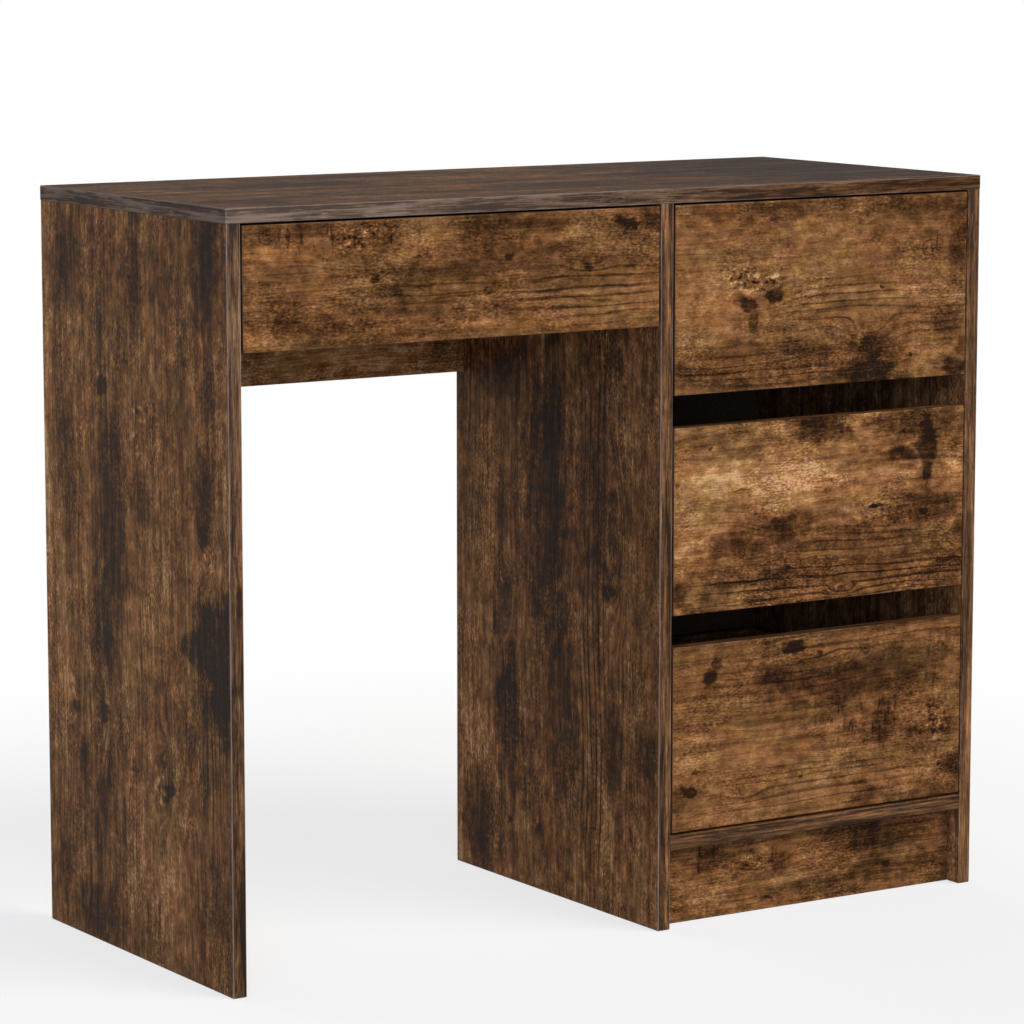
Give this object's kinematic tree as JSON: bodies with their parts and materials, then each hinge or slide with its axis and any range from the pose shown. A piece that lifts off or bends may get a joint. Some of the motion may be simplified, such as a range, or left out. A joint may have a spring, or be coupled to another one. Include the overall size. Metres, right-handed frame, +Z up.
{
  "type": "writing desk",
  "caption": "Dark rustic oak-look writing desk: a shallow drawer over the knee space and a pedestal of handle-free drawers on roller slides.",
  "frame": {"origin": "on the floor under the middle of the desktop", "axes": "+Z up, +X to the right as the sitter faces the desk, drawer fronts towards -Y"},
  "size_m": [0.9, 0.385, 0.756],
  "materials": {
    "decor_board": "satin melamine with a rustic brown oak print",
    "hardboard": "thin hardboard with a matt printed face",
    "coated_steel": "off-white epoxy coat on bent steel sheet",
    "nylon": "moulded natural nylon",
    "zinc_fitting": "zinc-plated fittings and screws",
    "beech_dowel": "plain turned beech"
  },
  "bodies": {
    "carcass": {"desktop": "decor_board", "left_side_panel": "decor_board", "divider_panel": "decor_board", "right_side_panel": "decor_board", "base_panel": "decor_board", "plinth_board": "decor_board", "rear_apron": "decor_board", "back_panel": "hardboard", "cam_bolts": "zinc_fitting", "cam_locks": "zinc_fitting", "rail_screws": "zinc_fitting", "wood_dowels": "beech_dowel", "writing_drawer_left_channel": "coated_steel", "writing_drawer_right_channel": "coated_steel", "lower_drawer_left_channel": "coated_steel", "lower_drawer_right_channel": "coated_steel", "middle_drawer_left_channel": "coated_steel", "middle_drawer_right_channel": "coated_steel", "upper_drawer_left_channel": "coated_steel", "upper_drawer_right_channel": "coated_steel"},
    "writing_drawer": {"writing_drawer_front": "decor_board", "writing_drawer_left_side": "decor_board", "writing_drawer_right_side": "decor_board", "writing_drawer_back": "decor_board", "writing_drawer_bottom": "hardboard", "writing_drawer_left_rail": "coated_steel", "writing_drawer_right_rail": "coated_steel", "writing_drawer_fittings": "zinc_fitting"},
    "writing_drawer_front_roller_pair": {"writing_drawer_front_rollers": "nylon"},
    "writing_drawer_rear_roller_pair": {"writing_drawer_rear_rollers": "nylon"},
    "lower_drawer": {"lower_drawer_front": "decor_board", "lower_drawer_left_side": "decor_board", "lower_drawer_right_side": "decor_board", "lower_drawer_back": "decor_board", "lower_drawer_bottom": "hardboard", "lower_drawer_left_rail": "coated_steel", "lower_drawer_right_rail": "coated_steel", "lower_drawer_fittings": "zinc_fitting"},
    "lower_drawer_front_roller_pair": {"lower_drawer_front_rollers": "nylon"},
    "lower_drawer_rear_roller_pair": {"lower_drawer_rear_rollers": "nylon"},
    "middle_drawer": {"middle_drawer_front": "decor_board", "middle_drawer_left_side": "decor_board", "middle_drawer_right_side": "decor_board", "middle_drawer_back": "decor_board", "middle_drawer_bottom": "hardboard", "middle_drawer_left_rail": "coated_steel", "middle_drawer_right_rail": "coated_steel", "middle_drawer_fittings": "zinc_fitting"},
    "middle_drawer_front_roller_pair": {"middle_drawer_front_rollers": "nylon"},
    "middle_drawer_rear_roller_pair": {"middle_drawer_rear_rollers": "nylon"},
    "upper_drawer": {"upper_drawer_front": "decor_board", "upper_drawer_left_side": "decor_board", "upper_drawer_right_side": "decor_board", "upper_drawer_back": "decor_board", "upper_drawer_bottom": "hardboard", "upper_drawer_left_rail": "coated_steel", "upper_drawer_right_rail": "coated_steel", "upper_drawer_fittings": "zinc_fitting"},
    "upper_drawer_front_roller_pair": {"upper_drawer_front_rollers": "nylon"},
    "upper_drawer_rear_roller_pair": {"upper_drawer_rear_rollers": "nylon"}
  },
  "joints": [
    {"name": "writing_drawer_slide", "type": "slide", "parent": "carcass", "child": "writing_drawer", "axis": [0, -1, 0], "range_m": [0, 0.255]},
    {"name": "writing_drawer_front_rollers_spin", "type": "hinge", "parent": "carcass", "child": "writing_drawer_front_roller_pair", "pos_m": [-0.19525, -0.163, 0.6474], "axis": [1, 0, 0], "continuous": true},
    {"name": "writing_drawer_rear_rollers_spin", "type": "hinge", "parent": "writing_drawer", "child": "writing_drawer_rear_roller_pair", "pos_m": [-0.19525, 0.1555, 0.644], "axis": [1, 0, 0], "continuous": true},
    {"name": "lower_drawer_slide", "type": "slide", "parent": "carcass", "child": "lower_drawer", "axis": [0, -1, 0], "range_m": [0, 0.255]},
    {"name": "lower_drawer_front_rollers_spin", "type": "hinge", "parent": "carcass", "child": "lower_drawer_front_roller_pair", "pos_m": [0.24675, -0.163, 0.1284], "axis": [1, 0, 0], "continuous": true},
    {"name": "lower_drawer_rear_rollers_spin", "type": "hinge", "parent": "lower_drawer", "child": "lower_drawer_rear_roller_pair", "pos_m": [0.24675, 0.1555, 0.125], "axis": [1, 0, 0], "continuous": true},
    {"name": "middle_drawer_slide", "type": "slide", "parent": "carcass", "child": "middle_drawer", "axis": [0, -1, 0], "range_m": [0, 0.255]},
    {"name": "middle_drawer_front_rollers_spin", "type": "hinge", "parent": "carcass", "child": "middle_drawer_front_roller_pair", "pos_m": [0.24675, -0.163, 0.35223], "axis": [1, 0, 0], "continuous": true},
    {"name": "middle_drawer_rear_rollers_spin", "type": "hinge", "parent": "middle_drawer", "child": "middle_drawer_rear_roller_pair", "pos_m": [0.24675, 0.1555, 0.34883], "axis": [1, 0, 0], "continuous": true},
    {"name": "upper_drawer_slide", "type": "slide", "parent": "carcass", "child": "upper_drawer", "axis": [0, -1, 0], "range_m": [0, 0.255]},
    {"name": "upper_drawer_front_rollers_spin", "type": "hinge", "parent": "carcass", "child": "upper_drawer_front_roller_pair", "pos_m": [0.24675, -0.163, 0.57607], "axis": [1, 0, 0], "continuous": true},
    {"name": "upper_drawer_rear_rollers_spin", "type": "hinge", "parent": "upper_drawer", "child": "upper_drawer_rear_roller_pair", "pos_m": [0.24675, 0.1555, 0.57267], "axis": [1, 0, 0], "continuous": true}
  ],
  "couplings": [
    {"joint": "writing_drawer_front_rollers_spin", "follows": "writing_drawer_slide", "rad_per_m": 86.957},
    {"joint": "writing_drawer_rear_rollers_spin", "follows": "writing_drawer_slide", "rad_per_m": 86.957},
    {"joint": "lower_drawer_front_rollers_spin", "follows": "lower_drawer_slide", "rad_per_m": 86.957},
    {"joint": "lower_drawer_rear_rollers_spin", "follows": "lower_drawer_slide", "rad_per_m": 86.957},
    {"joint": "middle_drawer_front_rollers_spin", "follows": "middle_drawer_slide", "rad_per_m": 86.957},
    {"joint": "middle_drawer_rear_rollers_spin", "follows": "middle_drawer_slide", "rad_per_m": 86.957},
    {"joint": "upper_drawer_front_rollers_spin", "follows": "upper_drawer_slide", "rad_per_m": 86.957},
    {"joint": "upper_drawer_rear_rollers_spin", "follows": "upper_drawer_slide", "rad_per_m": 86.957}
  ]
}
